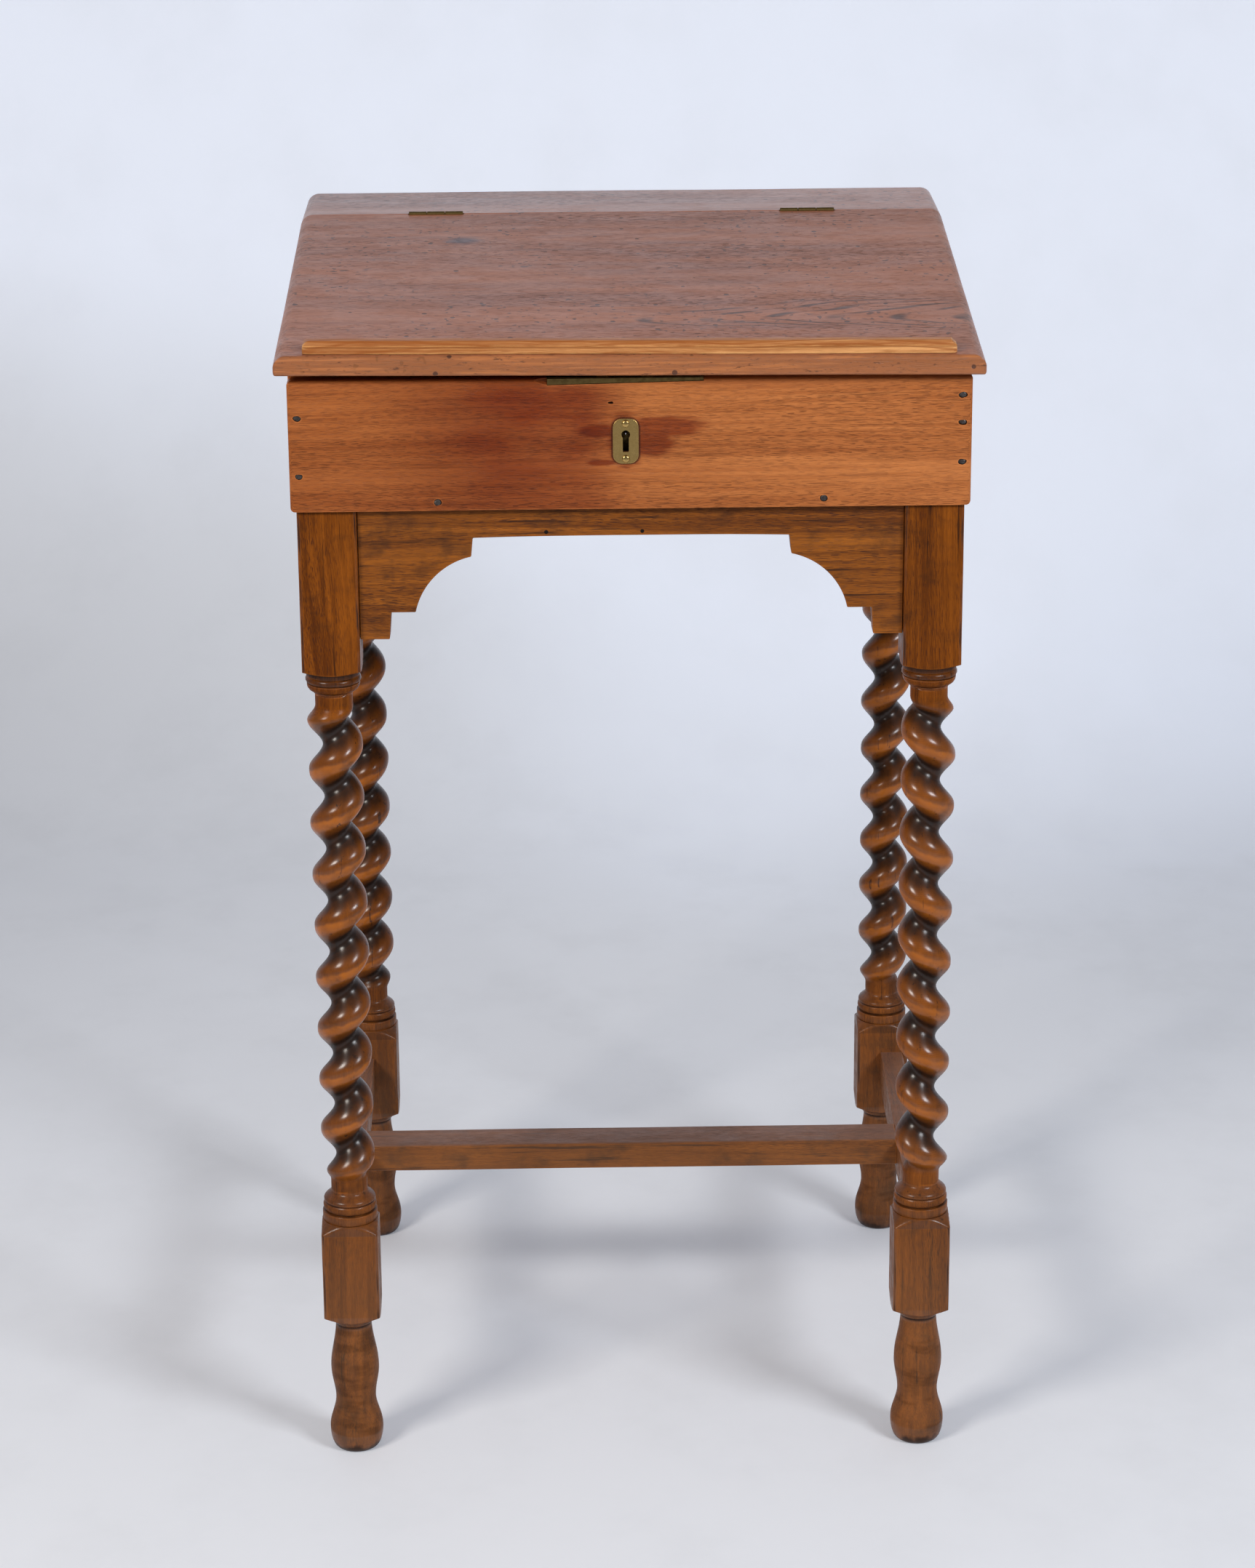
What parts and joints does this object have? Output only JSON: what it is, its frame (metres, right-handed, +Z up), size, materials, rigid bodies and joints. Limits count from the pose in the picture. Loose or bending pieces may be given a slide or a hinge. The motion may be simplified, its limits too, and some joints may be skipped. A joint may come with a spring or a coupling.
{
  "type": "writing table",
  "caption": "Tall narrow writing table: a sloping lidded box with a lock and a fixed rear ledge, on a stand with twist-turned legs, shaped aprons and an H stretcher.",
  "frame": {"origin": "on the floor, under the middle of the top's outline", "axes": "+Z up, -Y towards the front with the keyhole, +X to the right seen from the front"},
  "size_m": [0.5254, 0.476, 0.9441],
  "materials": {
    "leg_oak": "polished, with dark wax in the grooves of the twists",
    "rail_oak": "worn polish with dark grain ticks",
    "box_wood": "worn red-brown polish with dark pores and stains",
    "top_wood": "worn satin polish, scratched and stained",
    "pine": "varnished softwood with dark figure",
    "brass": "dull old brass",
    "iron": "dark oxidised iron"
  },
  "bodies": {
    "frame": {"leg_front_left": "leg_oak", "leg_front_right": "leg_oak", "leg_rear_left": "leg_oak", "leg_rear_right": "leg_oak", "apron_front": "rail_oak", "apron_rear": "rail_oak", "apron_left": "rail_oak", "apron_right": "rail_oak", "side_stretcher_left": "rail_oak", "side_stretcher_right": "rail_oak", "cross_stretcher": "rail_oak", "box_front_board": "box_wood", "box_back_board": "box_wood", "box_left_board": "box_wood", "box_right_board": "box_wood", "box_bottom_board": "pine", "nail_front_left_1": "iron", "nail_front_left_2": "iron", "nail_front_right_1": "iron", "nail_front_right_2": "iron", "nail_front_right_3": "iron", "nail_back_left_1": "iron", "nail_back_left_2": "iron", "nail_back_right_1": "iron", "nail_back_right_2": "iron", "nail_bottom_left": "iron", "nail_bottom_right": "iron", "ledge_board": "top_wood", "hinge_left_ledge_leaf": "brass", "hinge_left_ledge_screw_1": "brass", "hinge_left_ledge_screw_2": "brass", "hinge_left_pin": "brass", "hinge_right_ledge_leaf": "brass", "hinge_right_ledge_screw_1": "brass", "hinge_right_ledge_screw_2": "brass", "hinge_right_pin": "brass", "lock_selvedge": "brass", "selvedge_screw_left": "brass", "selvedge_screw_right": "brass", "lock_case": "iron", "lock_drill_pin": "iron", "escutcheon": "brass", "escutcheon_pin_upper": "brass", "escutcheon_pin_lower": "brass"},
    "lid": {"lid_board": "top_wood", "pen_rest": "pine", "hinge_left_lid_leaf": "brass", "hinge_left_lid_screw_1": "brass", "hinge_left_lid_screw_2": "brass", "hinge_right_lid_leaf": "brass", "hinge_right_lid_screw_1": "brass", "hinge_right_lid_screw_2": "brass", "lock_link_plate": "brass", "link_screw_left": "brass", "link_screw_right": "brass"},
    "bolt": {"lock_bolt": "brass"}
  },
  "joints": [
    {"name": "lid_hinge", "type": "hinge", "parent": "frame", "child": "lid", "pos_m": [0, 0.1412, 0.94199], "axis": [-1, 0, 0], "range_deg": [0, 175]},
    {"name": "bolt_slide", "type": "slide", "parent": "frame", "child": "bolt", "axis": [1, 0, 0], "range_m": [0, 0.004]}
  ]
}
